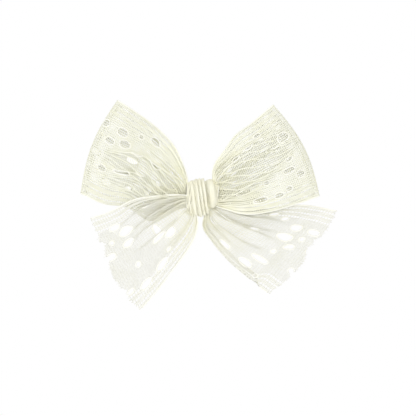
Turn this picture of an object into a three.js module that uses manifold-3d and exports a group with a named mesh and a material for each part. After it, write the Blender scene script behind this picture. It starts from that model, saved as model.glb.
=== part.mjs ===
// Lace hair bow on a lined alligator clip, in millimetres, +Z up.
// The bow faces -Y, the head is on the +Y side, and the origin lies where the jaws grip the hair.
// Two loops and two tails of lace ribbon leave a gathered waist, which thread binds and a band
// of lace covers. Glue holds the band to the clip's ribbon-lined upper jaw. The lower jaw turns
// on a pin between ears, and a torsion spring keeps it shut.

import * as THREE from "three";
import { mergeVertices } from "three/addons/utils/BufferGeometryUtils.js";
import Module from "manifold-3d";

// ---- Driving dimensions -------------------------------------------------------------------

const LACE = 0.8; // thickness of one lace layer with its raised threads
const WAIST_Y = -8.8; // depth of the gathered waist, the middle of the knot
const GAP = 0.3; // clearance left between touching pieces

const BAND = { width: 12, halfDepth: 5.4, halfHeight: 7.4, corner: 4.2, wall: 1.5 };
const THREAD = { width: 3.2, halfDepth: 3.75, halfHeight: 5.7, corner: 2.6, wall: 0.5 };
const WAIST = { width: 7, halfDepth: 3.1, halfHeight: 5.0, corner: 2.2 };

const LOOP_FRONT = 8.5; // how far a loop's front panel bulges ahead of the waist
const LOOP_BACK = 3.5; // how far its back panel bulges behind the waist
const LOOP_POINT = 1.5; // how sharply a loop comes to a point at the waist, seen from above
const LOOP_START = 0.5; // turn of the loop, in radians, at which it leaves the waist
const LOOP_EDGE_BULGE = 0.35; // share of the bulge left at a loop's lower and upper edges

const PIN = { x: -11, y: 2.6, radius: 0.7, halfLength: 4.4, headRadius: 1.15, head: 0.35 };
const PIN_HOLE = 0.78; // radius of the holes that the pin runs in
const STEEL = 0.7; // thickness of both jaws
const EAR = 0.6; // thickness of the ears that carry the pin
const JAW_TIP_X = 24; // front end of both jaws
const TAB_END_X = -21; // rear end of both thumb tabs
const BEND_X = -13.5; // where the thumb tabs bend away from the jaws

const UPPER = { inner: -0.55, halfWidth: 4, tipHalfWidth: 3, earOuter: 3.9, tabSlope: 10 };
const LOWER = { inner: 4.8, halfWidth: 3.1, tipHalfWidth: 2.6, earOuter: 3.1, tabSlope: 35 };
const LOWER_NOSE_X = 19.5; // where the lower jaw turns in towards the upper one
const TOOTH = { pitch: 1.5, gap: 0.7, depth: 1.0 };

const RIBBON = 0.3; // thickness of the lining ribbon
const RIBBON_GAP = 0.1; // glue line between the ribbon and the jaw
const GLUE = { width: 15, height: 8, corner: 3 };

const SPRING = { wire: 0.35, coil: 1.55, pitch: 0.85, turns: 3, legEndX: -18 };

// ---- Materials ------------------------------------------------------------------------------

const material = (name, color, roughness, metalness = 0) =>
  new THREE.MeshStandardMaterial({ name, color, roughness, metalness, side: THREE.DoubleSide });

const IVORY_LACE = [0xefeedd, 0.85];
const STEEL_FINISH = [0xc9cacc, 0.3, 0.9];

// ---- Shared shapes --------------------------------------------------------------------------

const X_AXIS = new THREE.Vector3(1, 0, 0);
const Y_AXIS = new THREE.Vector3(0, 1, 0);
const Z_AXIS = new THREE.Vector3(0, 0, 1);

const wasm = await Module();
wasm.setup();

function toSolid(geometry) {
  const bare = new THREE.BufferGeometry().copy(geometry);
  bare.deleteAttribute("normal");
  bare.deleteAttribute("uv");
  const merged = mergeVertices(bare, 1e-4);
  const index = merged.index.array;
  return new wasm.Manifold(
    new wasm.Mesh({
      numProp: 3,
      vertProperties: merged.attributes.position.array,
      triVerts: new Uint32Array(index),
    }),
  );
}

function toGeometry(solid) {
  const { vertProperties, triVerts } = solid.getMesh();
  const geometry = new THREE.BufferGeometry();
  geometry.setAttribute("position", new THREE.BufferAttribute(vertProperties, 3));
  geometry.setIndex(new THREE.BufferAttribute(triVerts, 1));
  geometry.computeVertexNormals();
  return geometry;
}

function curveThrough(points) {
  return new THREE.SplineCurve(points.map(([x, z]) => new THREE.Vector2(x, z)));
}

function roundedOutline(halfDepth, halfHeight, corner, Kind = THREE.Shape) {
  const outline = new Kind();
  const y = halfDepth - corner;
  const z = halfHeight - corner;
  outline.absarc(y, z, corner, 0, Math.PI / 2);
  outline.absarc(-y, z, corner, Math.PI / 2, Math.PI);
  outline.absarc(-y, -z, corner, Math.PI, 1.5 * Math.PI);
  outline.absarc(y, -z, corner, 1.5 * Math.PI, 2 * Math.PI);
  return outline;
}

// An outline drawn in Y and Z, made solid along X and centred on the waist.
function alongX(outline, width) {
  const geometry = new THREE.ExtrudeGeometry(outline, {
    depth: width,
    bevelEnabled: false,
    curveSegments: 8,
  });
  geometry.translate(0, 0, -width / 2);
  geometry.applyMatrix4(new THREE.Matrix4().makeBasis(Y_AXIS, Z_AXIS, X_AXIS));
  return geometry.translate(0, WAIST_Y, 0);
}

// An outline drawn in X and Y, made solid along Z about the middle of the clip.
function alongZ(outline, width, middle = 0) {
  const geometry = new THREE.ExtrudeGeometry(outline, {
    depth: width,
    bevelEnabled: false,
    curveSegments: 12,
  });
  return geometry.translate(0, 0, middle - width / 2);
}

// An outline drawn in X and Z, made solid along Y between two depths.
function alongY(outline, fromY, toY) {
  const geometry = new THREE.ExtrudeGeometry(outline, {
    depth: toY - fromY,
    bevelEnabled: false,
    curveSegments: 10,
  });
  const toFront = new THREE.Matrix4().makeBasis(X_AXIS, Z_AXIS, Y_AXIS.clone().negate());
  return geometry.applyMatrix4(toFront).translate(0, toY, 0);
}

// A lace panel: a flat block bent onto surface(t, v), with v running across the ribbon.
function lacePanel(surface, fromT, toT, lengthSteps, acrossSteps) {
  const panel = new THREE.BoxGeometry(1, 1, 1, lengthSteps, acrossSteps, 1);
  const position = panel.getAttribute("position");
  for (let i = 0; i < position.count; i++) {
    const t = THREE.MathUtils.lerp(fromT, toT, position.getX(i) + 0.5);
    const v = position.getY(i) + 0.5;
    const normal = normalAt(surface, t, v, (toT - fromT) * 1e-3);
    const point = surface(t, v).addScaledVector(normal, LACE * position.getZ(i));
    position.setXYZ(i, point.x, point.y, point.z);
  }
  panel.computeVertexNormals();
  return panel;
}

function normalAt(surface, t, v, step) {
  const along = surface(t + step, v).sub(surface(t - step, v));
  const across = surface(t, v + 1e-3).sub(surface(t, v - 1e-3));
  return along.cross(across).normalize();
}

// ---- Bow ------------------------------------------------------------------------------------

// A loop's ribbon runs out along the front, turns at the fold and comes back behind.
// Turn 0 and a full turn are the waist, half a turn is the fold.
function loopSurface(lowerRail, upperRail) {
  return (turn, v) => {
    const reach = (1 - Math.cos(turn)) / 2;
    const low = lowerRail.getPoint(Math.min(reach, 1));
    const high = upperRail.getPoint(Math.min(reach, 1));
    const middle = Math.sin(Math.PI * THREE.MathUtils.clamp(v, 0, 1));
    const crown = LOOP_EDGE_BULGE + (1 - LOOP_EDGE_BULGE) * middle ** 0.7;
    const teardrop = Math.sin(turn) * Math.sin(turn / 2) ** LOOP_POINT;
    const bulge = teardrop > 0 ? LOOP_FRONT : LOOP_BACK;
    const x = THREE.MathUtils.lerp(low.x, high.x, v);
    const z = THREE.MathUtils.lerp(low.y, high.y, v);
    return new THREE.Vector3(x, WAIST_Y - bulge * teardrop * crown, z);
  };
}

function makeLoop(name, lower, upper) {
  const surface = loopSurface(curveThrough(lower), curveThrough(upper));
  const geometry = lacePanel(surface, LOOP_START, 2 * Math.PI - LOOP_START, 36, 8);
  return named(name, geometry, IVORY_LACE);
}

// A tail runs from under the band to its cut end, at a depth given along its length.
function tailSurface(lowerRail, upperRail, depths) {
  return (reach, v) => {
    const low = lowerRail.getPoint(reach);
    const high = upperRail.getPoint(reach);
    const depth = depths.getPoint(reach).y;
    const x = THREE.MathUtils.lerp(low.x, high.x, v);
    const z = THREE.MathUtils.lerp(low.y, high.y, v);
    return new THREE.Vector3(x, depth, z);
  };
}

function makeTail(name, lower, upper, depths) {
  const surface = tailSurface(curveThrough(lower), curveThrough(upper), curveThrough(depths));
  return named(name, lacePanel(surface, 0.002, 0.998, 14, 8), IVORY_LACE);
}

function ring({ width, halfDepth, halfHeight, corner, wall }) {
  const outline = roundedOutline(halfDepth, halfHeight, corner);
  const inside = [halfDepth - wall, halfHeight - wall, corner - wall];
  outline.holes.push(roundedOutline(...inside, THREE.Path));
  return alongX(outline, width);
}

function makeWaist() {
  const { width, halfDepth, halfHeight, corner } = WAIST;
  return alongX(roundedOutline(halfDepth, halfHeight, corner), width);
}

function makeGluePad() {
  const outline = roundedOutline(GLUE.width / 2, GLUE.height / 2, GLUE.corner);
  const bandBack = WAIST_Y + BAND.halfDepth;
  const ribbonFront = UPPER.inner - STEEL - RIBBON_GAP - RIBBON;
  return alongY(outline, bandBack + RIBBON_GAP, ribbonFront - RIBBON_GAP);
}

// ---- Clip -----------------------------------------------------------------------------------

// Plan of a jaw seen from the front: a rounded thumb tab, straight sides and a rounded tip.
function jawPlan(halfWidth, tipHalfWidth, inset = 0) {
  const tip = tipHalfWidth - inset;
  const rear = halfWidth - inset;
  const tipCentre = JAW_TIP_X - inset - tip;
  const rearCentre = TAB_END_X + inset + rear;
  const plan = new THREE.Shape();
  plan.absarc(tipCentre, 0, tip, -Math.PI / 2, Math.PI / 2);
  plan.absarc(rearCentre, 0, rear, Math.PI / 2, 1.5 * Math.PI);
  return plan;
}

// Side view of the upper jaw's strip, as thick as given, its inner face at a depth.
function upperProfile(inner, thickness) {
  const rise = (BEND_X - TAB_END_X) * Math.tan(THREE.MathUtils.degToRad(UPPER.tabSlope));
  return new THREE.Shape([
    new THREE.Vector2(JAW_TIP_X, inner),
    new THREE.Vector2(BEND_X, inner),
    new THREE.Vector2(TAB_END_X, inner - rise),
    new THREE.Vector2(TAB_END_X, inner - rise - thickness),
    new THREE.Vector2(BEND_X, inner - thickness),
    new THREE.Vector2(JAW_TIP_X, inner - thickness),
  ]);
}

function lowerProfile() {
  const { inner, tabSlope } = LOWER;
  const fall = (BEND_X - TAB_END_X) * Math.tan(THREE.MathUtils.degToRad(tabSlope));
  const outer = inner + STEEL;
  const toothTip = 0.15;
  const profile = new THREE.Shape();
  profile.moveTo(TAB_END_X, inner + fall);
  profile.lineTo(BEND_X, inner);
  profile.lineTo(LOWER_NOSE_X, inner);
  profile.quadraticCurveTo(JAW_TIP_X - 1.5, inner, JAW_TIP_X - STEEL, toothTip);
  profile.lineTo(JAW_TIP_X, toothTip);
  profile.quadraticCurveTo(JAW_TIP_X - 0.8, outer, LOWER_NOSE_X, outer);
  profile.lineTo(BEND_X - 0.2, outer);
  profile.lineTo(TAB_END_X, outer + fall + 0.2);
  return profile;
}

// An ear: a plate round the pin hole that reaches the jaw at a given depth.
function ear(rootY, radius, middle) {
  const side = Math.sign(rootY - PIN.y);
  const plate = new THREE.Shape();
  plate.absarc(PIN.x, PIN.y, radius, side > 0 ? Math.PI : 0, side > 0 ? 2 * Math.PI : Math.PI);
  plate.lineTo(PIN.x + side * radius, rootY);
  plate.lineTo(PIN.x - side * radius, rootY);
  const hole = new THREE.Path();
  hole.absarc(PIN.x, PIN.y, PIN_HOLE, 0, 2 * Math.PI);
  plate.holes.push(hole);
  return alongZ(plate, EAR, middle);
}

function withEars(jaw, rootY, radius, outer) {
  const middle = outer - EAR / 2;
  return [-middle, middle].reduce((body, z) => body.add(toSolid(ear(rootY, radius, z))), jaw);
}

function makeUpperJaw() {
  const strip = toSolid(alongZ(upperProfile(UPPER.inner, STEEL), 2 * UPPER.halfWidth));
  const plan = toSolid(alongY(jawPlan(UPPER.halfWidth, UPPER.tipHalfWidth), -8, 8));
  const rootY = UPPER.inner - STEEL / 2;
  return toGeometry(withEars(strip.intersect(plan), rootY, 2.0, UPPER.earOuter));
}

function makeLowerJaw() {
  const strip = toSolid(alongZ(lowerProfile(), 2 * LOWER.halfWidth));
  const plan = toSolid(alongY(jawPlan(LOWER.halfWidth, LOWER.tipHalfWidth), -14, 14));
  const rootY = LOWER.inner + STEEL / 2;
  let jaw = withEars(strip.intersect(plan), rootY, 1.9, LOWER.earOuter);
  for (const z of [-TOOTH.pitch, 0, TOOTH.pitch]) {
    const notch = new THREE.BoxGeometry(4, TOOTH.depth, TOOTH.gap);
    jaw = jaw.subtract(toSolid(notch.translate(JAW_TIP_X, TOOTH.depth / 2, z)));
  }
  return toGeometry(jaw);
}

// The lining is glued on the upper jaw's front face and turned round its tip to the inner face.
function makeJawRibbon() {
  const inset = 0.4;
  const frontInner = UPPER.inner - STEEL - RIBBON_GAP;
  const backOuter = UPPER.inner + RIBBON_GAP;
  const tipInner = JAW_TIP_X + RIBBON_GAP;
  const rise = (BEND_X - TAB_END_X) * Math.tan(THREE.MathUtils.degToRad(UPPER.tabSlope));
  const front = toSolid(alongZ(upperProfile(frontInner, RIBBON), 2 * UPPER.halfWidth));
  const plan = jawPlan(UPPER.halfWidth, UPPER.tipHalfWidth, inset);
  const frontStrip = front.intersect(toSolid(alongY(plan, frontInner - rise - 1, 0)));
  const wrap = new THREE.Shape([
    new THREE.Vector2(JAW_TIP_X - 3, frontInner - RIBBON),
    new THREE.Vector2(tipInner + RIBBON, frontInner - RIBBON),
    new THREE.Vector2(tipInner + RIBBON, backOuter + RIBBON),
    new THREE.Vector2(PIN.x + 4, backOuter + RIBBON),
    new THREE.Vector2(PIN.x + 4, backOuter),
    new THREE.Vector2(tipInner, backOuter),
    new THREE.Vector2(tipInner, frontInner),
    new THREE.Vector2(JAW_TIP_X - 3, frontInner),
  ]);
  return toGeometry(frontStrip.add(toSolid(alongZ(wrap, 2 * (UPPER.tipHalfWidth - inset)))));
}

function makePin() {
  const { radius, halfLength, headRadius, head } = PIN;
  const profile = [
    new THREE.Vector2(0, -halfLength - head),
    new THREE.Vector2(headRadius, -halfLength - head),
    new THREE.Vector2(headRadius, -halfLength),
    new THREE.Vector2(radius, -halfLength),
    new THREE.Vector2(radius, halfLength),
    new THREE.Vector2(headRadius, halfLength),
    new THREE.Vector2(headRadius, halfLength + head),
    new THREE.Vector2(0, halfLength + head),
  ];
  return new THREE.LatheGeometry(profile, 24).rotateX(Math.PI / 2);
}

// Wire centreline: a leg under the upper tab, the coil round the pin, a leg inside the lower tab.
class SpringPath extends THREE.Curve {
  constructor(upperEnd, lowerEnd) {
    super();
    this.ends = { upper: upperEnd, lower: lowerEnd };
  }

  getPoint(share, target = new THREE.Vector3()) {
    const legShare = 0.1;
    const startAngle = -0.62 * Math.PI;
    const sweep = -(2 * Math.PI * SPRING.turns + 0.24 * Math.PI);
    const coilShare = THREE.MathUtils.clamp((share - legShare) / (1 - 2 * legShare), 0, 1);
    const angle = startAngle + sweep * coilShare;
    target.set(
      SPRING.coil * Math.cos(angle),
      SPRING.coil * Math.sin(angle),
      SPRING.pitch * SPRING.turns * (coilShare - 0.5),
    );
    if (share < legShare) target.lerp(this.ends.upper, 1 - share / legShare);
    if (share > 1 - legShare) target.lerp(this.ends.lower, 1 - (1 - share) / legShare);
    return target;
  }
}

function makeSpring() {
  const legX = SPRING.legEndX - PIN.x;
  const legZ = (SPRING.pitch * SPRING.turns) / 2;
  const upperRise = (BEND_X - SPRING.legEndX) * Math.tan(THREE.MathUtils.degToRad(UPPER.tabSlope));
  const lowerFall = (BEND_X - SPRING.legEndX) * Math.tan(THREE.MathUtils.degToRad(LOWER.tabSlope));
  const upperY = UPPER.inner - upperRise + SPRING.wire + GAP - PIN.y;
  const lowerY = LOWER.inner + lowerFall - SPRING.wire - GAP - PIN.y;
  const path = new SpringPath(
    new THREE.Vector3(legX, upperY, -legZ),
    new THREE.Vector3(legX, lowerY, legZ),
  );
  const section = new THREE.Shape();
  section.absarc(0, 0, SPRING.wire, 0, 2 * Math.PI);
  return new THREE.ExtrudeGeometry(section, { steps: 90, extrudePath: path, curveSegments: 4 });
}

// ---- Assembly -------------------------------------------------------------------------------

function named(name, geometry, [color, roughness, metalness]) {
  const mesh = new THREE.Mesh(geometry, material(name, color, roughness, metalness));
  mesh.name = name;
  return mesh;
}

function makeBow() {
  const bow = new THREE.Group();
  bow.add(
    makeLoop(
      "left_loop",
      [[-4, -3.4], [-6.6, -4.2], [-14, -6.4], [-22, -9], [-33, -2.4], [-47.2, 2.2]],
      [[-4, 3.4], [-6.6, 4.8], [-8.4, 16], [-15, 25.5], [-24, 32.2], [-32.8, 38]],
    ),
    makeLoop(
      "right_loop",
      [[4, -3.4], [6.6, -4], [12, -5.2], [20, -6.2], [32, -3.6], [46, 0.7]],
      [[4, 3.4], [6.6, 4.8], [8, 15], [13, 24.5], [20.5, 30.5], [28.5, 36]],
    ),
    makeTail(
      "left_tail",
      [[-4.6, -3.2], [-7, -5.2], [-8.4, -15], [-11, -26], [-17, -35.5], [-25.4, -45]],
      [[-4.6, -0.8], [-7, -1], [-17, 0.2], [-26, -0.4], [-35.5, -5], [-45.2, -8.5]],
      [[0, -11], [0.2, -12], [0.4, -15], [0.6, -15.4], [0.8, -14], [1, -12.4]],
    ),
    makeTail(
      "right_tail",
      [[4.6, -3.2], [7, -5.2], [9, -16], [12.6, -26], [18.5, -31.8], [26, -37.2]],
      [[4.6, -0.8], [7, -1.2], [17, -2.6], [28, -3], [40, -2.8], [52.2, -5]],
      [[0, -6.7], [0.2, -6.3], [0.4, -5.9], [0.6, -6], [0.8, -6.4], [1, -7]],
    ),
    named("gathered_waist", makeWaist(), IVORY_LACE),
    named("binding_thread", ring(THREAD), [0xf2efdc, 0.7]),
    named("knot_band", ring(BAND), IVORY_LACE),
    named("glue_pad", makeGluePad(), [0xeae6d2, 0.4]),
  );
  return bow;
}

function makeClip() {
  const clip = new THREE.Group();
  const pin = named("hinge_pin", makePin(), STEEL_FINISH);
  pin.position.set(PIN.x, PIN.y, 0);
  const spring = named("torsion_spring", makeSpring(), STEEL_FINISH);
  spring.position.copy(pin.position);
  clip.add(
    named("upper_jaw", makeUpperJaw(), STEEL_FINISH),
    named("upper_jaw_ribbon", makeJawRibbon(), [0xeeead6, 0.8]),
    named("lower_jaw", makeLowerJaw(), STEEL_FINISH),
    pin,
    spring,
  );
  return clip;
}

const hairBow = new THREE.Group();
hairBow.name = "hair_bow";
hairBow.add(makeBow(), makeClip());

export default hairBow;
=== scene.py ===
"""Ivory lace hair bow on a ribbon-lined alligator clip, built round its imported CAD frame.

Every lace panel is a smooth surface with real threads laid on it: ribs along the ribbon, bars
across it, a cord round each eyelet and cords along both selvages. Lengths are in millimetres
until a mesh is written, except where a comment says metres, and the bow's curves are measured
from the middle of the knot.
"""

import math

import bpy
import numpy as np
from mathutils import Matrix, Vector


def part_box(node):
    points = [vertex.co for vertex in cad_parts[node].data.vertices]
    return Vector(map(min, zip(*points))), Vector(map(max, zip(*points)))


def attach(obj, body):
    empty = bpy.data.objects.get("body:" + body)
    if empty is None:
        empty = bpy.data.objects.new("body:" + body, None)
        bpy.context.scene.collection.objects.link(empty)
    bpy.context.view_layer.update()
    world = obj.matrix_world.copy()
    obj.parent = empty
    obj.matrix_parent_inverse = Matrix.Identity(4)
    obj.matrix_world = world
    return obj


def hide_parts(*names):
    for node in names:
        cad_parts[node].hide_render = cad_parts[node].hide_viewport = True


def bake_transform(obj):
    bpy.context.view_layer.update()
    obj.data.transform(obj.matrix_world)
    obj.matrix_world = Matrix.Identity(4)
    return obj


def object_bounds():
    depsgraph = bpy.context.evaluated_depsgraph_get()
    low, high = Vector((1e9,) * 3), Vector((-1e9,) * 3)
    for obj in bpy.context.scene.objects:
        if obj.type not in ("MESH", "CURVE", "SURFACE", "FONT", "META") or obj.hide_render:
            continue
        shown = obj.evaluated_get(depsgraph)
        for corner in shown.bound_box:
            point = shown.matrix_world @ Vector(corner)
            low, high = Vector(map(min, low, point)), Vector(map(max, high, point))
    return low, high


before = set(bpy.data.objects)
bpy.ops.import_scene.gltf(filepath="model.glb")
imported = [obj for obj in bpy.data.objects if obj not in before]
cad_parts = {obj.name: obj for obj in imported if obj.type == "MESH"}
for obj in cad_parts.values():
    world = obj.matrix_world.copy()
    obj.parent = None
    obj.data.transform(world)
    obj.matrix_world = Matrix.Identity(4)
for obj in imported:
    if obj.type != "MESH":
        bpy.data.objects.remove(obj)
cad_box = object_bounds()

MM = 0.001
RNG = np.random.default_rng(7)


def node_box(name):
    """Lowest and highest corner of a CAD node, in millimetres."""
    low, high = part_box(name)
    return np.array(low) / MM, np.array(high) / MM


BAND_LOW, BAND_HIGH = node_box("knot_band")
KNOT = (BAND_LOW + BAND_HIGH) / 2

# ---- Camera, light and floor ------------------------------------------------------------------

VIEW_WIDTH = 162.0  # width of the picture at the bow
LENS = 135.0
SENSOR = 36.0
VIEW_CENTRE = KNOT + np.array([2.5, -2.0, -3.9])
FLOOR_DROP = 1000.0  # how far the floor lies below the bow
WORLD_SEEN = 1.0  # the white surround as the camera sees it
WORLD_LIGHT = 0.68  # and as it lights the bow
FLOOR_GLOW = 0.37  # keeps the floor as pale as the surround

# In metres and watts.
NEAR_CLIP = 0.01
FLOOR_HALF = 3.0
LIGHT_SIZE = 0.3
KEY_PLACE, KEY_POWER = (-0.45, -0.5, 0.6), 1.05
FRONT_PLACE, FRONT_POWER = (0.05, -0.9, 0.1), 2.3


def make_camera():
    data = bpy.data.cameras.new("camera")
    data.lens = LENS
    data.sensor_width = SENSOR
    data.clip_start = NEAR_CLIP
    camera = bpy.data.objects.new("camera", data)
    bpy.context.scene.collection.objects.link(camera)
    distance = VIEW_WIDTH * LENS / SENSOR
    camera.location = Vector((VIEW_CENTRE - np.array([0, distance, 0])) * MM)
    camera.rotation_euler = (math.radians(90), 0, 0)
    bpy.context.scene.camera = camera


def make_light(name, place, power):
    data = bpy.data.lights.new(name, "AREA")
    data.shape = "DISK"
    data.size = LIGHT_SIZE
    data.energy = power
    light = bpy.data.objects.new(name, data)
    bpy.context.scene.collection.objects.link(light)
    light.location = place
    light.rotation_euler = (-Vector(place)).to_track_quat("-Z", "Y").to_euler()


def make_world():
    world = bpy.data.worlds.new("studio")
    world.use_nodes = True
    tree = world.node_tree
    background = tree.nodes["Background"]
    background.inputs["Color"].default_value = (1, 1, 1, 1)
    seen = tree.nodes.new("ShaderNodeLightPath").outputs["Is Camera Ray"]
    strength = tree.nodes.new("ShaderNodeMapRange")
    strength.inputs["To Min"].default_value = WORLD_LIGHT
    strength.inputs["To Max"].default_value = WORLD_SEEN
    tree.links.new(seen, strength.inputs["Value"])
    tree.links.new(strength.outputs["Result"], background.inputs["Strength"])
    bpy.context.scene.world = world
    bpy.context.scene.view_settings.view_transform = "Standard"


def make_floor():
    level = cad_box[0].z - FLOOR_DROP * MM
    ways = ((-1, -1), (1, -1), (1, 1), (-1, 1))
    corners = [(x * FLOOR_HALF, y * FLOOR_HALF, level) for x, y in ways]
    floor = make_object("floor", corners, [(0, 1, 2, 3)], [floor_paint()])


def make_object(name, vertices, faces, materials, smooth_shading=False, slots=None):
    mesh = bpy.data.meshes.new(name)
    mesh.from_pydata(vertices, [], faces)
    for material in materials:
        mesh.materials.append(material)
    mesh.polygons.foreach_set("use_smooth", [smooth_shading] * len(faces))
    if slots is not None:
        mesh.polygons.foreach_set("material_index", slots)
    mesh.update()
    made = bpy.data.objects.new(name, mesh)
    bpy.context.scene.collection.objects.link(made)
    return made


# ---- Materials --------------------------------------------------------------------------------

PAINTED_KNOT_LIGHT_REACH = (0.008, 0.028)  # metres from the knot over which the thread's painted warm light fades to its far colour
PATCH_SCALE = 220.0  # of the noise that sets the warmer patches
FIBRE_SCALE = 9000.0
FIBRE_BUMP, FIBRE_HEIGHT = 0.5, 0.00006
THREAD_ROUGHNESS, THREAD_SHEEN = 0.85, 0.12
MIX_SHARE, MIX_NEAR, MIX_FAR, MIX_COLOUR = 0, 6, 7, 2  # the Mix node's sockets for colours


def new_material(name):
    material = bpy.data.materials.new(name)
    material.use_nodes = True
    return material, material.node_tree.nodes["Principled BSDF"]


def noise_node(tree, scale, detail=3.0, stretch=(1, 1, 1)):
    coordinates = tree.nodes.new("ShaderNodeTexCoord")
    mapping = tree.nodes.new("ShaderNodeMapping")
    mapping.inputs["Scale"].default_value = stretch
    noise = tree.nodes.new("ShaderNodeTexNoise")
    noise.inputs["Scale"].default_value = scale
    noise.inputs["Detail"].default_value = detail
    tree.links.new(coordinates.outputs["Object"], mapping.inputs["Vector"])
    tree.links.new(mapping.outputs["Vector"], noise.inputs["Vector"])
    return noise.outputs["Fac"]


def ramp_node(tree, source, stops):
    ramp = tree.nodes.new("ShaderNodeValToRGB")
    elements = ramp.color_ramp.elements
    elements[0].position, elements[0].color = stops[0][0], (*stops[0][1], 1)
    elements[1].position, elements[1].color = stops[-1][0], (*stops[-1][1], 1)
    for position, colour in stops[1:-1]:
        elements.new(position).color = (*colour, 1)
    tree.links.new(source, ramp.inputs["Fac"])
    return ramp.outputs["Color"]


def add_bump(tree, shader, height, strength, distance):
    bump = tree.nodes.new("ShaderNodeBump")
    bump.inputs["Strength"].default_value = strength
    bump.inputs["Distance"].default_value = distance
    tree.links.new(height, bump.inputs["Height"])
    tree.links.new(bump.outputs["Normal"], shader.inputs["Normal"])


def paint_knot_light(tree, near, far):
    """Painted warm light near the knot: colour near at the knot, turning to colour far farther out."""
    coordinates = tree.nodes.new("ShaderNodeTexCoord")
    distance = tree.nodes.new("ShaderNodeVectorMath")
    distance.operation = "DISTANCE"
    distance.inputs[1].default_value = KNOT * MM
    share = tree.nodes.new("ShaderNodeMapRange")
    share.inputs["From Min"].default_value, share.inputs["From Max"].default_value = PAINTED_KNOT_LIGHT_REACH
    mix = tree.nodes.new("ShaderNodeMix")
    mix.data_type = "RGBA"
    tree.links.new(coordinates.outputs["Object"], distance.inputs[0])
    tree.links.new(distance.outputs["Value"], share.inputs["Value"])
    tree.links.new(share.outputs["Result"], mix.inputs[MIX_SHARE])
    tree.links.new(near, mix.inputs[MIX_NEAR])
    tree.links.new(far, mix.inputs[MIX_FAR])
    return mix.outputs[MIX_COLOUR]


def cotton(name, light, dark, past_knot_light=None, patch=PATCH_SCALE, sheen=THREAD_SHEEN):
    """Matte spun thread: fine fibre bump, small patches of warmer colour and a soft sheen.

    The last pair of colours is what light and dark turn to away from the knot, so light and dark carry
    a painted warm light near it.
    """
    material, shader = new_material(name)
    tree = material.node_tree
    patches = noise_node(tree, patch)
    colour = ramp_node(tree, patches, [(0.35, dark), (0.6, light)])
    if past_knot_light:
        far = ramp_node(tree, patches, [(0.35, past_knot_light[1]), (0.6, past_knot_light[0])])
        colour = paint_knot_light(tree, colour, far)
    tree.links.new(colour, shader.inputs["Base Color"])
    add_bump(tree, shader, noise_node(tree, FIBRE_SCALE, detail=2.0), FIBRE_BUMP, FIBRE_HEIGHT)
    shader.inputs["Roughness"].default_value = THREAD_ROUGHNESS
    shader.inputs["Sheen Weight"].default_value = sheen
    shader.inputs["Sheen Roughness"].default_value = 0.4
    shader.inputs["Specular IOR Level"].default_value = 0.25
    return material


def steel(name, colour, worn, roughness, stretch):
    """Plated metal with fine brushing along one way and duller worn patches."""
    material, shader = new_material(name)
    tree = material.node_tree
    brushing = noise_node(tree, 900.0, detail=4.0, stretch=stretch)
    tone = ramp_node(tree, brushing, [(0.3, worn), (0.62, colour)])
    tree.links.new(tone, shader.inputs["Base Color"])
    smudges = noise_node(tree, 160.0, detail=5.0)
    dull = ramp_node(tree, smudges, [(0.35, (roughness,) * 3), (0.7, (roughness + 0.2,) * 3)])
    tree.links.new(dull, shader.inputs["Roughness"])
    add_bump(tree, shader, brushing, 0.25, 0.00003)
    shader.inputs["Metallic"].default_value = 1.0
    return material


def hot_glue(name):
    """Cloudy set glue, milky in places, with a waxy gloss."""
    material, shader = new_material(name)
    tree = material.node_tree
    clouds = noise_node(tree, 420.0, detail=4.0)
    milk = ramp_node(tree, clouds, [(0.3, (0.72, 0.70, 0.60)), (0.7, (0.88, 0.87, 0.80))])
    tree.links.new(milk, shader.inputs["Base Color"])
    add_bump(tree, shader, noise_node(tree, 700.0), 0.35, 0.0002)
    shader.inputs["Roughness"].default_value = 0.28
    shader.inputs["Coat Weight"].default_value = 0.3
    return material


def floor_paint():
    material, shader = new_material("floor_paint")
    tree = material.node_tree
    cloud = noise_node(tree, 3.0)
    tone = ramp_node(tree, cloud, [(0.3, (0.89, 0.89, 0.89)), (0.7, (0.91, 0.91, 0.91))])
    tree.links.new(tone, shader.inputs["Base Color"])
    shader.inputs["Roughness"].default_value = 0.9
    shader.inputs["Emission Color"].default_value = (1, 1, 1, 1)
    shader.inputs["Emission Strength"].default_value = FLOOR_GLOW
    return material


# ---- Curves -----------------------------------------------------------------------------------

PACE_STEPS = 400  # at which a surface's middle line is measured
TINY = 1e-9  # keeps a division clear of zero


def spline(points, share):
    """Points on the Catmull-Rom curve through points, at shares 0 to 1 of its spans."""
    knots = np.asarray(points, float)
    spans = len(knots) - 1
    at = np.clip(np.asarray(share, float), 0, 1) * spans
    first = np.minimum(at.astype(int), spans - 1)
    f = (at - first)[..., None]
    ends = np.vstack([2 * knots[0] - knots[1], knots, 2 * knots[-1] - knots[-2]])
    a, b, c, d = (ends[first + k] for k in range(4))
    cubic = (3 * b - a - 3 * c + d) * f**3
    square = (2 * a - 5 * b + 4 * c - d) * f**2
    return 0.5 * (2 * b + (c - a) * f + square + cubic)


def smooth(x):
    x = np.clip(x, 0, 1)
    return x * x * (3 - 2 * x)


def even(surface):
    """The surface with its middle line run through at an even pace, and that line's length."""
    raw = np.linspace(0, 1, PACE_STEPS)
    middle = surface(raw, np.full(PACE_STEPS, 0.5))
    length = np.concatenate([[0], np.cumsum(np.linalg.norm(np.diff(middle, axis=0), axis=1))])

    def at(along, v):
        return surface(np.interp(along, length / length[-1], raw), v)

    return at, length[-1]


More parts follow.
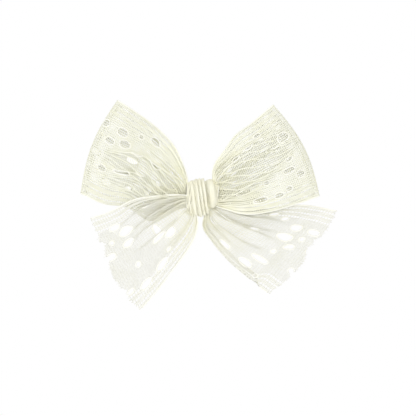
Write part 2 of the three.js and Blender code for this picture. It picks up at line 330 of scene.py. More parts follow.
class Sheet:
    """A lace panel's surface, kept as a fine grid of points over its flat length and width."""

    STEP = 0.4

    def __init__(self, surface, width):
        paced, self.length = even(surface)
        self.width = width
        self.rows = int(round(self.length / self.STEP)) + 1
        self.columns = int(round(width / self.STEP)) + 1
        along, across = np.meshgrid(
            np.linspace(0, 1, self.rows), np.linspace(0, 1, self.columns), indexing="ij"
        )
        self.points = paced(along, across)
        normals = np.cross(np.gradient(self.points, axis=0), np.gradient(self.points, axis=1))
        self.normals = normals / np.maximum(np.linalg.norm(normals, axis=2, keepdims=True), TINY)

    def sample(self, grid, s, w):
        x = np.clip(s / self.length, 0, 1) * (self.rows - 1)
        y = np.clip(w / self.width, 0, 1) * (self.columns - 1)
        i = np.minimum(x.astype(int), self.rows - 2)
        j = np.minimum(y.astype(int), self.columns - 2)
        f, g = (x - i)[:, None], (y - j)[:, None]
        near = grid[i, j] * (1 - g) + grid[i, j + 1] * g
        far = grid[i + 1, j] * (1 - g) + grid[i + 1, j + 1] * g
        return near * (1 - f) + far * f

    def place(self, s, w, lift=0.0):
        """Points at s along and w across the flat ribbon, lifted off the surface."""
        s, w = np.broadcast_arrays(np.asarray(s, float), np.asarray(w, float))
        normals = self.sample(self.normals, s, w)
        return self.sample(self.points, s, w) + normals * np.reshape(lift, (-1, 1)), normals


# ---- Threads ----------------------------------------------------------------------------------

THREAD_SLOT, CORD_SLOT = 0, 1  # a panel's materials


class Threads:
    """Collects closed tubes and writes them as one mesh."""

    def __init__(self):
        self.vertices, self.faces, self.slots, self.count = [], [], [], 0

    def add(self, points, normals, width, height, sides=4, closed=False, slot=THREAD_SLOT):
        """A tube along points, width across the surface and height off it."""
        rings = len(points)
        if rings < 2:
            return
        if closed:
            ahead = np.roll(points, -1, 0) - np.roll(points, 1, 0)
        else:
            ahead = np.gradient(points, axis=0)
        ahead /= np.maximum(np.linalg.norm(ahead, axis=1, keepdims=True), TINY)
        side = np.cross(ahead, normals)
        side /= np.maximum(np.linalg.norm(side, axis=1, keepdims=True), TINY)
        up = np.cross(side, ahead)
        turn = (np.arange(sides) + 0.5) / sides * 2 * math.pi
        wide = side[:, None, :] * np.cos(turn)[None, :, None] * width / 2
        tall = up[:, None, :] * np.sin(turn)[None, :, None] * height / 2
        self.vertices.append((points[:, None, :] + wide + tall).reshape(-1, 3))
        last = rings if closed else rings - 1
        i = np.repeat(np.arange(last), sides)
        k = np.tile(np.arange(sides), last)
        j, n = (i + 1) % rings, (k + 1) % sides
        quads = np.stack([i * sides + k, j * sides + k, j * sides + n, i * sides + n], 1)
        faces = (quads + self.count).tolist()
        if not closed:
            end = self.count + (rings - 1) * sides
            faces.append([self.count + k for k in range(sides)])
            faces.append([end + k for k in range(sides)][::-1])
        self.faces.extend(faces)
        self.slots.extend([slot] * len(faces))
        self.count += rings * sides

    def mesh(self, name, materials):
        vertices = (np.vstack(self.vertices) * MM).tolist()
        return make_object(name, vertices, self.faces, materials, True, self.slots)


# ---- Lace -------------------------------------------------------------------------------------

RIBBON_WIDTH = 40.0
RIB_WIDTH, RIB_HEIGHT = 0.52, 0.3
BAR_WIDTH, BAR_HEIGHT = 0.34, 0.24
BAR_PITCH = 0.78  # from bar to bar where weave is 1, as in the loops
FIELD_PITCH = 0.84  # from rib to rib there
TAIL_WEAVE, TAIL_STRIDE, TAIL_FRAY = 0.48, 3, 0.5
WEAVE_LIFT = 0.1  # how far a thread goes over and under those it crosses
RIB_WANDER, RIB_WANDER_RATE = 0.06, 0.8
BAR_WANDER = 0.05
BAR_INSET = 0.1  # from the selvage to the end of a bar
FRAY_RANGE = (-0.3, 1.0)
CORD_WIDTH, CORD_HEIGHT = 0.54, 0.46
RIM_SIDES, SELVAGE_SIDES = 5, 6
RIM_LEAST_STEPS, RIM_STEPS_PER_MM = 10, 2.5
SELVAGE_STEP = 0.8
# From a selvage to each rib of the band along it: close ribs and ladder gaps.
MARGIN_RIBS = (0.35, 0.95, 2.15, 2.7, 3.25, 4.4, 4.95, 5.5, 6.6)
BAND_SLACK = 0.05
LEAST_GAP = 0.12  # between a thread's end and the first crossing on it
RIM = 0.22  # from an eyelet's clear edge to the middle of the cord round it
LEAST_RUN = 0.5  # shortest thread kept between two eyelets
FINE = 0.15  # step at which threads are tested against eyelets


def rib_places(weave):
    """Where the ribs run across the ribbon."""
    inner = MARGIN_RIBS[-1]
    spans = round((RIBBON_WIDTH - 2 * inner) / (FIELD_PITCH * weave))
    field = np.linspace(inner, RIBBON_WIDTH - inner, spans + 1)[1:-1]
    return np.array([*MARGIN_RIBS, *field, *(RIBBON_WIDTH - w for w in reversed(MARGIN_RIBS))])


def in_eyelet(s, w, eyelets):
    inside = np.zeros(np.broadcast(s, w).shape, bool)
    for s0, w0, length, width in eyelets:
        inside |= ((s - s0) / (length / 2 + RIM)) ** 2 + ((w - w0) / (width / 2 + RIM)) ** 2 < 1
    return inside


def runs_of(keep):
    """First and last index of each unbroken run of True."""
    edges = np.flatnonzero(np.diff(np.concatenate([[0], keep.astype(int), [0]])))
    return list(zip(edges[::2], edges[1::2] - 1))


def crossings(low, high, places):
    """The two ends of a thread and each crossing between them."""
    inner = places[(places > low + LEAST_GAP) & (places < high - LEAST_GAP)]
    return np.concatenate([[low], inner, [high]])


class Lace:
    """Threads for one panel, whose eyelets are (along, across, length, width).

    cut(w) is how far along the ribbon the panel ends, at w across it, and fray how unevenly its
    ribs end there. weave scales the net of the field. The bands along the selvages keep their
    thickness and have one bar in every stride.
    """

    def __init__(self, sheet, eyelets=(), cut=None, fray=0.0, weave=1.0, stride=1):
        self.sheet, self.eyelets, self.threads = sheet, eyelets, Threads()
        self.cut = cut or (lambda w: np.full(np.shape(w), sheet.length))
        self.fray = fray
        self.weave, self.stride, self.pitch = weave, stride, BAR_PITCH * weave
        self.bars = np.arange(int(sheet.length / self.pitch) + 1) * self.pitch
        self.ribs = rib_places(weave) * sheet.width / RIBBON_WIDTH
        self.band = MARGIN_RIBS[-1] * sheet.width / RIBBON_WIDTH
        self.add_ribs()
        self.add_bars()
        for eyelet in eyelets:
            self.add_rim(*eyelet)
        self.add_selvages()

    def in_field(self, w):
        return (w > self.band - BAND_SLACK) & (w < self.sheet.width - self.band + BAND_SLACK)

    def add_ribs(self):
        s_all = np.arange(0, self.sheet.length, FINE)
        for k, w in enumerate(self.ribs):
            end = self.cut(np.array([w]))[0] + self.fray * RNG.uniform(*FRAY_RANGE)
            keep = ~in_eyelet(s_all, w, self.eyelets) & (s_all <= end)
            phase = RNG.uniform(0, 6)
            for first, last in runs_of(keep):
                if s_all[last] - s_all[first] < LEAST_RUN:
                    continue
                stride, thin = (1, self.weave) if self.in_field(w) else (self.stride, 1.0)
                s = crossings(s_all[first], s_all[last], self.bars[::stride])
                lift = WEAVE_LIFT * np.cos(math.pi * (np.round(s / self.pitch / stride) + k))
                wander = RIB_WANDER * np.sin(RIB_WANDER_RATE * s + phase)
                points, normals = self.sheet.place(s, w + wander, lift)
                self.threads.add(points, normals, RIB_WIDTH * thin, RIB_HEIGHT * thin)

    def add_bars(self):
        w_all = np.arange(BAR_INSET, self.sheet.width - BAR_INSET, FINE)
        for j, s in enumerate(self.bars):
            keep = ~in_eyelet(s, w_all, self.eyelets) & (s <= self.cut(w_all))
            thin = 1.0
            if j % self.stride:
                keep &= self.in_field(w_all)
                thin = self.weave
            for first, last in runs_of(keep):
                if w_all[last] - w_all[first] < LEAST_RUN:
                    continue
                w = crossings(w_all[first], w_all[last], self.ribs)
                order = np.where(self.in_field(w), j, j // self.stride)
                lift = -WEAVE_LIFT * np.cos(math.pi * (order + np.searchsorted(self.ribs, w)))
                wander = RNG.normal(0, BAR_WANDER, len(w))
                points, normals = self.sheet.place(s + wander, w, lift)
                self.threads.add(points, normals, BAR_WIDTH * thin, BAR_HEIGHT * thin)

    def add_rim(self, s0, w0, length, width):
        steps = max(RIM_LEAST_STEPS, int((length + width) * RIM_STEPS_PER_MM))
        turn = np.linspace(0, 2 * math.pi, steps, endpoint=False)
        s = s0 + (length / 2 + RIM) * np.cos(turn)
        w = w0 + (width / 2 + RIM) * np.sin(turn)
        keep = (s <= self.cut(w)) & (s >= 0) & (w > 0) & (w < self.sheet.width)
        if keep.all():
            points, normals = self.sheet.place(s, w)
            self.add_cord(points, normals, RIM_SIDES, closed=True)
            return
        start = int(np.argmin(keep))
        s, w, keep = np.roll(s, -start), np.roll(w, -start), np.roll(keep, -start)
        for first, last in runs_of(keep):
            if last - first >= 2:
                points, normals = self.sheet.place(s[first : last + 1], w[first : last + 1])
                self.add_cord(points, normals, RIM_SIDES)

    def add_selvages(self):
        for w in (0.0, self.sheet.width):
            end = min(self.cut(np.array([w]))[0], self.sheet.length)
            points, normals = self.sheet.place(np.arange(0, end, SELVAGE_STEP), w)
            self.add_cord(points, normals, SELVAGE_SIDES)

    def add_cord(self, points, normals, sides, closed=False):
        self.threads.add(points, normals, CORD_WIDTH, CORD_HEIGHT, sides, closed, CORD_SLOT)

    def mesh(self, name, thread=None):
        return self.threads.mesh(name, [thread or LACE_THREAD, LACE_CORD])


def spot(s, w, size=1.8):
    return (s, w, size, size)


# ---- The bow's surfaces -----------------------------------------------------------------------

PLEATS, TAIL_PLEATS = 9, 8  # gathers across a loop and across a tail where they enter the knot
PLEAT_DEPTH = 0.58  # how deep they stand, against the depth that would take up every bit of width
GATHER_REACH, TAIL_GATHER_REACH = 0.95, 0.8  # share of the way out over which they open
FRONT_LEAN, BACK_LEAN, TAIL_LEAN = -0.9, 0.6, -0.7  # how far a gather leans over, to its height
FRONT_BULGE, BACK_BULGE = 8.5, 3.5  # how far a loop stands out before and behind its outline
BACK_PHASE = 0.45
LOOP_START = 0.3  # the angle round a loop, from 0 to 2 pi, at which its front leaves the knot
HEM_GAP = 0.7
TUCK_FADE = 0.3  # share of the way out over which a tuck opens


def pleat_wave(turns):
    """Height from -1 to 1 of soft gathers with round crests and narrow valleys."""
    return 2 * np.sqrt(np.sin(math.pi * turns) ** 2 + 0.03) ** 0.8 - 1


def folded(rails, share, v, folds, pleats, phase, gather_to, lean):
    """A point across two rails, and the height and sideways shift that its folds give it.

    Each fold is a tuck, (centre, drift, spread, height, tuck, end): where it runs across the
    ribbon, how that moves with share, its half width, how high its crest stands and how far it
    laps over, both in mm, and the share at which it has opened out.
    """
    low, high = spline(rails[0], share), spline(rails[1], share)
    span = high - low
    width = np.linalg.norm(span, axis=-1)
    spare = np.sqrt(np.maximum(RIBBON_WIDTH**2 - width**2, 0))
    fade = 1 - smooth(share / gather_to)
    warp = v + 0.03 * np.sin(2 * math.pi * (2 * v + phase)) + 0.012 * np.sin(11 * share)
    height = PLEAT_DEPTH * spare / (4 * pleats) * fade * pleat_wave(pleats * warp + phase)
    aside = lean * height
    for centre, drift, spread, tall, tuck, end in folds:
        near = (v - centre - drift * share) / spread
        step = -near * np.exp((1 - near**2) / 2)
        opening = smooth(share * 6) * (1 - smooth((share - end + TUCK_FADE) / TUCK_FADE))
        height = height + tall * step * opening
        aside = aside + tuck * step * opening
    sideways = span / np.maximum(width, TINY)[..., None]
    off_rails = 1 - smooth(abs(v - 0.5) * 8 - 3)  # the selvages themselves stay on the rails
    flat = low + span * v[..., None] + sideways * (aside * off_rails)[..., None]
    return flat, height


def loop_surface(rails, side, front_folds, fold_bow, phase):
    """A loop: out along the front, round the fold, which bows out by fold_bow, and back."""

    def at(along, v):
        turn = LOOP_START + along * 2 * (math.pi - LOOP_START)
        reach = (1 - np.cos(turn)) / 2
        front, front_high = folded(
            rails, reach, v, front_folds, PLEATS, phase, GATHER_REACH, FRONT_LEAN
        )
        back, back_high = folded(
            rails, reach, v, BACK_FOLDS, PLEATS, phase + BACK_PHASE, GATHER_REACH, BACK_LEAN
        )
        behind = smooth((turn - math.pi) / 1.6 + 0.5)
        place = front * (1 - behind[..., None]) + back * behind[..., None]
        bow = fold_bow * np.sin(math.pi * v) * reach**4
        x = place[..., 0] + side * bow
        z = place[..., 1] + 0.4 * bow
        teardrop = np.sin(turn) * np.sin(turn / 2) ** 1.5
        bulge = np.where(teardrop > 0, FRONT_BULGE, BACK_BULGE)
        crown = 0.35 + 0.65 * np.sin(math.pi * np.clip(v, 0, 1)) ** 0.7
        y = -bulge * teardrop * crown - front_high * (1 - behind) + back_high * behind
        return np.stack([x, y, z], -1) + KNOT

    return at


def tail_surface(rails, depths, folds, phase, hem=None):
    """A tail, out from the knot. hem(share) is the share of the width turned under below."""

    def at(along, v):
        turned = hem(along) if hem else 0 * along
        across = np.where(v < 1 - turned, v / (1 - turned), 1 - (v - 1 + turned))
        under = smooth((v - 1 + turned) / np.maximum(turned, TINY)) * (turned > 0.01)
        place, height = folded(
            rails, along, across, folds, TAIL_PLEATS, phase, TAIL_GATHER_REACH, TAIL_LEAN
        )
        depth = np.interp(along, *np.transpose(depths)) - KNOT[1]
        y = depth - height + HEM_GAP * under
        return np.stack([place[..., 0], y, place[..., 1]], -1) + KNOT

    return at


# The two selvages of each panel, (x, z) from the middle of the knot: lower, then upper in a
# loop, and upper, then lower in a tail.
LEFT_LOOP_RAILS = (
    [(-5, -3.2), (-12, -5.2), (-20, -8.8), (-29, -3.6), (-38, -2.2), (-47.2, 1.8)],
    [(-5, 3.4), (-6.4, 11), (-11, 20.8), (-18.5, 28.3), (-25, 33), (-32.8, 38.2)],
)
RIGHT_LOOP_RAILS = (
    [(5, -3), (10, -4.6), (17, -6.3), (26, -5.4), (36, -2.6), (46, 0.8)],
    [(4.5, 4), (4.6, 12), (9, 18.8), (13.5, 24.8), (20, 29.5), (28, 36.4)],
)
LEFT_TAIL_RAILS = (
    [(-4.5, 1.0), (-12, 1.2), (-20, 0.5), (-27, -1.0), (-35.5, -5.4), (-45.2, -8.5), (-49, -9.8)],
    [(-2.5, -4), (-1.4, -10), (-3.6, -17.2), (-10, -26.5), (-17.5, -36.3), (-25.4, -45.2), (-28, -48)],
)
RIGHT_TAIL_RAILS = (
    [(4.5, -1.5), (14, -4), (24, -4.6), (33, -3.2), (42, -3), (52.4, -5), (56, -5.8)],
    [(1.5, -5), (0.6, -11.5), (4.8, -18), (10.5, -24.6), (17.5, -30.6), (26, -37.3), (28.6, -39.4)],
)
# A tail's y in the frame, at each share of the way out. Known fault: between x -22 and -7 the
# left tail still runs through the front of the left loop.
LEFT_TAIL_DEPTHS = [(0, -11), (0.2, -11.8), (0.4, -14.4), (0.6, -15), (0.8, -13.8), (1, -12.4)]
RIGHT_TAIL_DEPTHS = [(0, -6.7), (0.2, -6.3), (0.4, -5.9), (0.6, -6), (0.8, -6.4), (1, -7)]

# Tucks as (centre, drift, spread, height, lap, end).
RIGHT_FRONT_FOLDS = [
    (0.45, 0.14, 0.045, 1.5, -3.2, 1.0),
    (0.60, 0.12, 0.040, -1.3, -2.6, 1.0),
    (0.32, 0.08, 0.030, 0.8, -1.4, 0.7),
    (0.72, 0.06, 0.030, -0.7, -1.4, 0.7),
    (0.86, 0.00, 0.030, -0.6, -1.0, 0.55),
]
LEFT_FRONT_FOLDS = [
    (0.58, -0.14, 0.040, -1.3, -2.8, 0.95),
    (0.46, -0.12, 0.030, 0.9, -1.8, 0.8),
    (0.34, -0.10, 0.035, 1.0, -2.2, 0.85),
    (0.18, 0.0, 0.030, 0.8, -1.6, 0.7),
    (0.72, 0.0, 0.030, -0.6, -1.2, 0.6),
]
BACK_FOLDS = [(0.35, 0.1, 0.045, 0.8, 1.4, 0.8), (0.7, 0.0, 0.045, 0.8, -1.4, 0.7)]
LEFT_TAIL_FOLDS = [
    (0.10, 0.03, 0.025, 0.6, -1.0, 0.7),
    (0.22, 0.02, 0.030, 0.8, -1.4, 0.75),
    (0.34, 0.01, 0.025, 0.7, -1.2, 0.65),
    (0.46, 0.0, 0.030, 0.8, -1.5, 0.75),
    (0.66, 0.02, 0.035, 0.8, -1.2, 0.6),
]
RIGHT_TAIL_FOLDS = [
    (0.30, 0.05, 0.040, 0.9, -1.4, 0.7),
    (0.58, 0.0, 0.040, 0.9, -1.6, 0.75),
]

# Along the middle, from the knot to the straight line between a tail's corners.
LEFT_TAIL_LENGTH = 39.5
RIGHT_TAIL_LENGTH = 41.5


def ragged(length, outline):
    """Where a tail's cut end runs. outline holds (place across, how far past length)."""
    across, extra = np.transpose(outline)

    def cut(w):
        ripple = 0.25 * np.sin(5.3 * w) + 0.2 * np.sin(11.7 * w + 1)
        return length + np.interp(w, across, extra) + ripple

    return cut


def from_end(tail_length, eyelets):
    """Eyelets placed from the cut end of a tail, turned into places from the knot."""
    return [(tail_length - s, w, length, width) for s, w, length, width in eyelets]


LEFT_LOOP_EYELETS = [
    (38.8, 13.2, 3.5, 2.4), (39.5, 24.5, 4, 2.4), (36, 30, 4.6, 3.2), (33.2, 26, 4.6, 3),
    (44.8, 30, 3.6, 2.6), (20.8, 34, 5, 3), (30.8, 14.8, 6.5, 2.2), (23.2, 17.2, 5, 2),
    (17.6, 22.4, 6, 2), (11.5, 26.5, 4.5, 1.6), (28, 32, 2, 2), (27, 22, 5, 2.4),
    (50, 18, 4.4, 2.4), (58, 8.5, 4, 2.4), (65, 21, 5, 2.4), (67, 8.5, 2, 1.8), (70, 28, 1.6, 1.6),
    (76, 13, 5, 2.4), (78, 19, 2, 2), (76, 31, 3.6, 2),
]
RIGHT_LOOP_EYELETS = [
    (39.6, 27.6, 5, 2.8), (30, 34, 3.2, 1.8), (30.5, 30.6, 2.6, 1.8), (23.6, 29.6, 5, 2.6),
    (16.4, 28.8, 5, 2.4), (26.8, 24.2, 4.2, 1.5), (37.2, 19.2, 3, 2), (35.2, 14.4, 5, 2.2),
    (39.2, 11.2, 3.5, 2.6), (32.4, 7.4, 2.6, 2), (24.8, 13.2, 2, 1.8), (20.4, 6.4, 5.5, 2.2),
    (27.6, 6, 3.6, 2), (33.6, 25, 4, 1.7),
    (52, 32, 2.6, 2), (60, 17.5, 4.4, 2.2), (71, 15, 2, 2), (77, 26, 4.6, 2.2),
]

LEFT_TAIL_EYELETS = from_end(LEFT_TAIL_LENGTH, [
    spot(3, 12.3, 1.6), (7, 7.2, 4.3, 2.3), (10.3, 10.8, 5.9, 3.2), (8.8, 15.9, 4.7, 2.7),
    (0, 17, 3.9, 2.3), (22.9, 7.1, 3.1, 1.6), (21.1, 19, 2.7, 2), (20.1, 23.5, 5.9, 2.3),
    (24.6, 26.2, 4.3, 2), spot(20.6, 31.2, 1.6), (15.6, 33.9, 5.5, 2.7), (6.9, 34.3, 5.1, 2.7),
    spot(7.9, 25.7, 2), (0.3, 32.2, 3.1, 1.4), (31.9, 22.4, 4.7, 3.6),
])
RIGHT_TAIL_EYELETS = from_end(RIGHT_TAIL_LENGTH, [
    spot(3.7, 15.4), (1.7, 11.2, 4.3, 2.3), (9.1, 10.8, 4.3, 2.7), (10.4, 15.9, 5.9, 3.1),
    (6, 20, 3.9, 2), (15.5, 7.9, 2.3, 2), (20.9, 5.4, 3.1, 2), (22, 16.4, 3.1, 1.6),
    (34.7, 18.3, 7.8, 2), (35.3, 25.9, 3.9, 2), spot(10.1, 22.8, 1.6), (12.1, 28.2, 6.6, 2),
    (15.3, 32.6, 5.1, 2.7), (24.8, 32.2, 4.3, 2), spot(9.1, 34.7, 1.6), spot(-0.9, 28.1, 2),
    (-2.1, 19, 3, 1.6),
])
LEFT_CUT = ragged(LEFT_TAIL_LENGTH, [
    (0, 0), (7, 0.2), (9.5, 1.4), (11.5, -0.6), (14, 1.2), (16, 2.2), (17, 0.6),
    (19, 2.4), (24, 3.2), (29, 2.2), (30.5, 0.6), (32, 1.6), (36, 1.0), (40, 0),
])
RIGHT_CUT = ragged(RIGHT_TAIL_LENGTH, [
    (0, 0), (6, 1.2), (11.5, 1.8), (14, 0.2), (15.5, 1.2), (17, 0.0), (19.6, 1.3),
    (23.6, 2.7), (28, 2.6), (29, 1.4), (31, 2.2), (34, 1.5), (40, 0),
])
HEM_SHARE = 0.08  # of the width
HEM_END = 0.7  # share of the way out where it starts to open


def right_hem(share):
    """The right tail's lower selvage is turned under from the knot almost to its cut end."""
    return HEM_SHARE * (1 - smooth((share - HEM_END) / 0.06))


# ---- The knot ---------------------------------------------------------------------------------

KNOT_PLEATS = 5  # on the wrap's main roll; a broad one lies at its right
KNOT_SLIT = 0.68  # share of the width where the crease between the two rolls runs
KNOT_SLANT = 0.12  # and how far that moves from the knot's middle to its top
KNOT_ROUNDNESS = 2.4  # 2 would be an ellipse from the side
SLIT_WIDTH, SLIT_DEPTH = 0.04, 1.2
WRAP_TURNS = 2.08  # half turns, so the ends overlap at the back
WRAP_HALF_WIDTH = 5.8
WRAP_PLEAT_HEIGHT = 0.7
TUCK_IN = 0.32  # how far the wrap's rims turn in towards the ribbons that they hold


def knot_surface(along, v):
    """The wrap round the knot: from the back, under, up the front, over and down the back."""
    turn = math.pi * (WRAP_TURNS * along - 1)
    ahead, up = np.cos(turn), np.sin(turn)
    half = (BAND_HIGH - BAND_LOW) / 2
    across = 2 * v - 1
    below, above = smooth(-up * 1.6), smooth(up * 1.6)
    half_width = WRAP_HALF_WIDTH + 0.1 * up + 0.3 * ahead
    centre = 0.1 + 0.3 * up
    crowded = v + KNOT_SLANT * up + 0.02 * np.sin(14 * v + 2 * up)
    pleat_counts = [-1.4, KNOT_PLEATS, KNOT_PLEATS + 1.5]
    pleat = pleat_wave(np.interp(crowded, [-0.2, KNOT_SLIT, 1.2], pleat_counts))
    slit = np.exp(-(((crowded - KNOT_SLIT) / SLIT_WIDTH) ** 2))
    height = WRAP_PLEAT_HEIGHT * pleat * (1 - 0.4 * across**4) + 0.4 * along - SLIT_DEPTH * slit
    shoulder = 1 - 0.24 * abs(across + 0.1 * above + 0.3 * below) ** 2.4
    shoulder = shoulder - 0.12 * below * (across + 0.4) ** 2
    tucked_in = TUCK_IN * abs(across) ** 5
    power = 2 / KNOT_ROUNDNESS
    y = -np.sign(ahead) * abs(ahead) ** power * (half[1] * (shoulder - tucked_in) + height)
    z = np.sign(up) * abs(up) ** power * (half[2] * shoulder + 0.7 * height - 0.5)
    x = centre + half_width * across + 0.6 * height
    return np.stack([x, y, z], -1) + KNOT


WAIST_PLEATS = 14


def waist_surface(along, v):
    """The gathered middle of the loops, a pleated bundle inside the wrap."""
    low, high = node_box("gathered_waist")
    middle, half = (low + high) / 2, (high - low) / 2
    turn = 2 * math.pi * v
    swell = 0.88 + 0.12 * np.sin(WAIST_PLEATS * turn)
    x = middle[0] + half[0] * (2 * along - 1)
    y = middle[1] - half[1] * swell * np.cos(turn)
    z = middle[2] + half[2] * swell * np.sin(turn)
    return np.stack([x, y, z], -1)


BINDING_TURNS = 6
BINDING_STEPS = 28  # a turn
BINDING_SIZE = 0.45


def make_binding():
    """Sewing thread wound tightly round the waist."""
    low, high = node_box("binding_thread")
    middle, half = (low + high) / 2, (high - low) / 2 - BINDING_SIZE / 2
    share = np.linspace(0, 1, BINDING_TURNS * BINDING_STEPS)
    turn = 2 * math.pi * BINDING_TURNS * share
    out = np.stack([0 * turn, -np.cos(turn), np.sin(turn)], -1)
    points = middle + out * half
    points[:, 0] = middle[0] + half[0] * (2 * share - 1)
    threads = Threads()
    threads.add(points, out, BINDING_SIZE, BINDING_SIZE, sides=6)
    finish_piece(threads.mesh("binding_windings", [BINDING]), "bow", "binding_thread")


def make_waist():
    sheet = Sheet(waist_surface, RIBBON_WIDTH)
    finish_piece(Lace(sheet).mesh("waist_gathers"), "bow", "gathered_waist")


GLUE_LUMP = 0.12
GLUE_RINGS, GLUE_SIDES = 24, 64


def make_glue():
    """The dab of set glue between the waist and the lining: a slumped pad with uneven edges."""
    low, high = node_box("glue_pad")
    middle, half = (low + high) / 2, (high - low) / 2
    rings, sides = GLUE_RINGS, GLUE_SIDES
    rise = np.linspace(-math.pi / 2, math.pi / 2, rings)[1:-1, None]
    turn = np.linspace(0, 2 * math.pi, sides, endpoint=False)[None, :]
    lump = 1 + GLUE_LUMP * np.sin(3 * turn + 1) * np.sin(5 * turn) - GLUE_LUMP
    wide = np.cos(rise) ** 0.35 * lump
    x = wide * np.sign(np.cos(turn)) * abs(np.cos(turn)) ** 0.7
    z = wide * np.sign(np.sin(turn)) * abs(np.sin(turn)) ** 0.7
    y = np.sign(rise) * abs(np.sin(rise)) ** 0.6 * (1 + 0.05 * np.sin(4 * turn) * np.cos(rise))
    ring_points = np.stack(np.broadcast_arrays(x, y, z), -1).reshape(-1, 3)
    points = np.vstack([ring_points, [(0, -1, 0), (0, 1, 0)]]) * half + middle
    count = rings - 2
    faces = []
    for k in range(sides):
        n = (k + 1) % sides
        for i in range(count - 1):
            a, b = i * sides, (i + 1) * sides
            faces.append((a + k, b + k, b + n, a + n))
        top = (count - 1) * sides
        faces.append((k, n, len(points) - 2))
        faces.append((top + n, top + k, len(points) - 1))
    piece = make_object("glue_dab", (points * MM).tolist(), faces, [GLUE], True)
    finish_piece(piece, "bow", "glue_pad")


SPRING_WIRE = 0.7
SPRING_COIL = 1.55  # radius of the coil's middle line
SPRING_TURNS = 3.12
SPRING_RISE = 2.55  # along the pin, over the whole coil
SPRING_START = -0.62 * math.pi
UPPER_LEG = (-7.0, -3.29)  # ends of the legs, from the pin
LOWER_LEG = (-7.0, 4.7)
LEG_SHARE = 0.1  # of the wire's run, for each leg
SPRING_STEPS = 300


def make_spring():
    """Torsion spring coiled round the pin, one leg against each thumb tab."""
    low, high = node_box("hinge_pin")
    pin = (low + high) / 2
    share = np.linspace(0, 1, SPRING_STEPS)
    coil = np.clip((share - LEG_SHARE) / (1 - 2 * LEG_SHARE), 0, 1)
    turn = SPRING_START - 2 * math.pi * SPRING_TURNS * coil
    round_pin = [SPRING_COIL * np.cos(turn), SPRING_COIL * np.sin(turn), SPRING_RISE * (coil - 0.5)]
    points = np.stack(round_pin, -1)
    upper = np.clip(1 - share / LEG_SHARE, 0, 1)[:, None]
    lower = np.clip(1 - (1 - share) / LEG_SHARE, 0, 1)[:, None]
    points += (np.array([*UPPER_LEG, -SPRING_RISE / 2]) - points) * upper
    points += (np.array([*LOWER_LEG, SPRING_RISE / 2]) - points) * lower
    threads = Threads()
    along_pin = np.tile([0.0, 0.0, 1.0], (len(points), 1))
    threads.add(points + pin, along_pin, SPRING_WIRE, SPRING_WIRE, sides=12)
    piece = threads.mesh("spring_wire", [SPRING_STEEL])
    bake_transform(piece)
    finish_piece(piece, None, "torsion_spring")


GROSGRAIN_PITCH = 0.55
GROSGRAIN_OVERLAP = 1.1  # a rib's size against its room
GROSGRAIN_THICKEST = 0.5
GROSGRAIN_EDGE = (0.4, 0.5)
GROSGRAIN_STEPS = 13  # across the ribbon
OUTSIDE = 40.0  # farther out than anything of the clip


def make_lining():
    """Grosgrain ribbon glued along the upper jaw: close ribs across, a cord along each edge."""
    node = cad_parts["upper_jaw_ribbon"]
    low, high = node_box("upper_jaw_ribbon")
    threads = Threads()
    edge = []
    for x in np.arange(low[0] + GROSGRAIN_PITCH / 2, high[0], GROSGRAIN_PITCH):
        front = node.ray_cast(Vector((x, -OUTSIDE, 0)) * MM, Vector((0, 1, 0)))[1]
        back = node.ray_cast(Vector((x, OUTSIDE, 0)) * MM, Vector((0, -1, 0)))[1]
        y = (front.y + back.y) / 2 / MM
        thick = abs(back.y - front.y) / MM
        side = node.ray_cast(Vector((x, y, OUTSIDE)) * MM, Vector((0, 0, -1)))[1].z / MM
        z = np.linspace(-side, side, GROSGRAIN_STEPS)
        points = np.stack([np.full_like(z, x), np.full_like(z, y), z], -1)
        normals = np.tile([0.0, -1.0, 0.0], (GROSGRAIN_STEPS, 1))
        width = GROSGRAIN_PITCH * GROSGRAIN_OVERLAP
        height = min(thick, GROSGRAIN_THICKEST) * GROSGRAIN_OVERLAP
        threads.add(points, normals, width, height, sides=6)
        edge.append((x, y, side))
    edge = np.array(edge)
    for way in (-1, 1):
        points = edge * [1, 1, way]
        normals = np.tile([0.0, -1.0, 0.0], (len(points), 1))
        threads.add(points, normals, *GROSGRAIN_EDGE, sides=6)
    piece = threads.mesh("lining_grosgrain", [LINING])
    finish_piece(piece, "bow", "upper_jaw_ribbon")


def make_knot():
    sheet = Sheet(knot_surface, RIBBON_WIDTH)
    piece = Lace(sheet).mesh("knot_wrap", TAN_SHADED_KNOT_THREAD)
    finish_piece(piece, "bow", "knot_band")


# ---- Putting the lace together ----------------------------------------------------------------


def finish_piece(piece, body, node):
    if body:
        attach(piece, body)
    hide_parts(node)


def make_loop(name, surface, eyelets):
    sheet = Sheet(surface, RIBBON_WIDTH)
    piece = Lace(sheet, eyelets).mesh(name + "_lace")
    finish_piece(piece, "bow", name)


def make_tail(name, surface, eyelets, cut):
    sheet = Sheet(surface, RIBBON_WIDTH)
    lace = Lace(sheet, eyelets, cut, fray=TAIL_FRAY, weave=TAIL_WEAVE, stride=TAIL_STRIDE)
    piece = lace.mesh(name + "_lace", SHADED_TAIL_THREAD)
    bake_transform(piece)
    finish_piece(piece, None, name)


make_camera()
make_world()
make_floor()
make_light("key", KEY_PLACE, KEY_POWER)
make_light("front", FRONT_PLACE, FRONT_POWER)
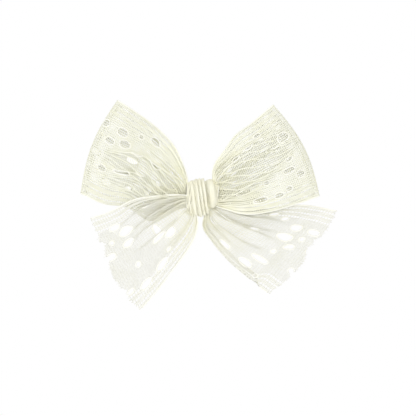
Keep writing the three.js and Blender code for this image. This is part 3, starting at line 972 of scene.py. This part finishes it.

# The lace thread is painted brighter and yellower near the knot, a painted warm light over the shade
# there, and turns paler farther out.
LACE_THREAD = cotton(
    "ivory_lace",
    (0.995, 0.985, 0.83),
    (0.985, 0.97, 0.775),
    past_knot_light=((0.96, 0.96, 0.84), (0.95, 0.945, 0.79)),
)
LACE_CORD = cotton("ivory_cord", (0.99, 0.985, 0.915), (0.98, 0.97, 0.87))
# The tails' thread is the lace thread painted darker, as painted shade on the tails, most of all far
# from the knot.
SHADED_TAIL_THREAD = cotton(
    "ivory_tail_painted_shade",
    (0.975, 0.965, 0.83),
    (0.96, 0.945, 0.78),
    past_knot_light=((0.895, 0.89, 0.82), (0.875, 0.87, 0.775)),
)
# The knot's thread is the lace thread painted slightly darker and yellower, as painted tan shade on
# the knot.
TAN_SHADED_KNOT_THREAD = cotton("ivory_knot_painted_tan", (0.99, 0.975, 0.825), (0.98, 0.955, 0.775))
CLIP_STEEL = steel("nickel_plate", (0.58, 0.57, 0.55), (0.38, 0.37, 0.355), 0.13, (1, 8, 8))
SPRING_STEEL = steel("spring_wire", (0.56, 0.55, 0.53), (0.33, 0.32, 0.31), 0.22, (6, 6, 1))
GLUE = hot_glue("set_glue")
LINING = cotton("lining_ribbon", (0.98, 0.97, 0.88), (0.965, 0.95, 0.84), patch=500.0, sheen=0.4)
BINDING = cotton("binding", (0.93, 0.92, 0.85), (0.88, 0.87, 0.78))

make_loop(
    "left_loop",
    loop_surface(LEFT_LOOP_RAILS, -1, LEFT_FRONT_FOLDS, 2.6, 0.1),
    LEFT_LOOP_EYELETS,
)
make_loop(
    "right_loop",
    loop_surface(RIGHT_LOOP_RAILS, 1, RIGHT_FRONT_FOLDS, 3.0, 0.4),
    RIGHT_LOOP_EYELETS,
)
make_tail(
    "left_tail",
    tail_surface(LEFT_TAIL_RAILS, LEFT_TAIL_DEPTHS, LEFT_TAIL_FOLDS, 0.2),
    LEFT_TAIL_EYELETS,
    LEFT_CUT,
)
make_tail(
    "right_tail",
    tail_surface(RIGHT_TAIL_RAILS, RIGHT_TAIL_DEPTHS, RIGHT_TAIL_FOLDS, 0.1, right_hem),
    RIGHT_TAIL_EYELETS,
    RIGHT_CUT,
)
make_knot()
make_waist()
make_binding()
make_glue()
make_lining()
make_spring()

for name in ("upper_jaw", "lower_jaw", "hinge_pin"):
    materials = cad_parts[name].data.materials
    materials.clear()
    materials.append(CLIP_STEEL)
